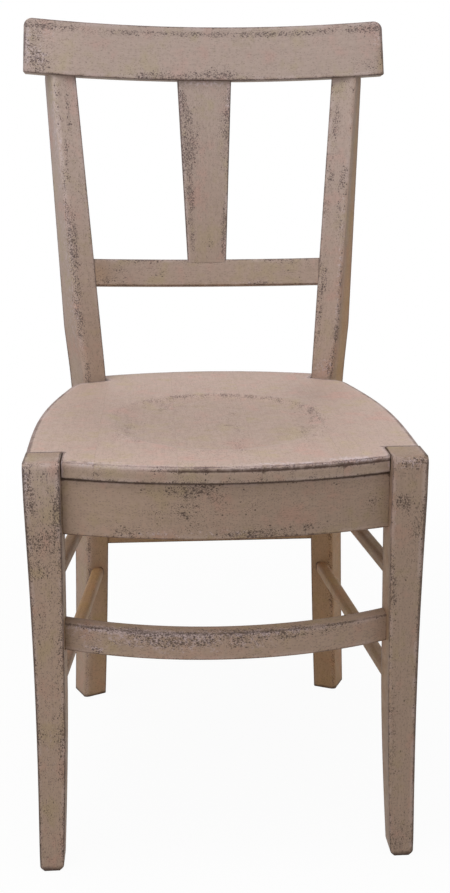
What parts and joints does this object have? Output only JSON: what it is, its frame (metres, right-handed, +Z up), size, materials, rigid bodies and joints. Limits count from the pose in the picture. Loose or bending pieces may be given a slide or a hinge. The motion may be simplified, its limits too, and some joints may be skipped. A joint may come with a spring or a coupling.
{
  "type": "dining chair",
  "caption": "Painted wooden dining chair with a bowed crest rail, a tapered splat, raked back posts, a dished solid seat and bowed front rails.",
  "frame": {"origin": "on the floor, below the centre of the chair's outline seen from above", "axes": "+X to the right and +Y to the back, seen from the front; +Z up"},
  "size_m": [0.462, 0.5557, 0.9095],
  "materials": {
    "painted_frame": "worn matte paint",
    "painted_seat": "worn satin paint",
    "bare_wood": "bare",
    "screw_steel": "zinc plated"
  },
  "bodies": {
    "root": {"crest_rail": "painted_frame", "back_splat": "painted_frame", "lower_back_rail": "painted_frame", "left_back_post": "painted_frame", "right_back_post": "painted_frame", "front_apron": "painted_frame", "left_side_apron": "painted_frame", "right_side_apron": "painted_frame", "rear_apron": "painted_frame", "left_front_leg": "painted_frame", "right_front_leg": "painted_frame", "front_stretcher": "painted_frame", "rear_stretcher": "painted_frame", "left_upper_side_stretcher": "painted_frame", "left_lower_side_stretcher": "painted_frame", "right_upper_side_stretcher": "painted_frame", "right_lower_side_stretcher": "painted_frame", "left_outer_seat_board": "painted_seat", "left_inner_seat_board": "painted_seat", "middle_seat_board": "painted_seat", "right_inner_seat_board": "painted_seat", "right_outer_seat_board": "painted_seat", "left_front_corner_block": "bare_wood", "right_front_corner_block": "bare_wood", "left_rear_corner_block": "bare_wood", "right_rear_corner_block": "bare_wood", "corner_block_screws": "screw_steel", "seat_screws": "screw_steel"}
  },
  "joints": []
}
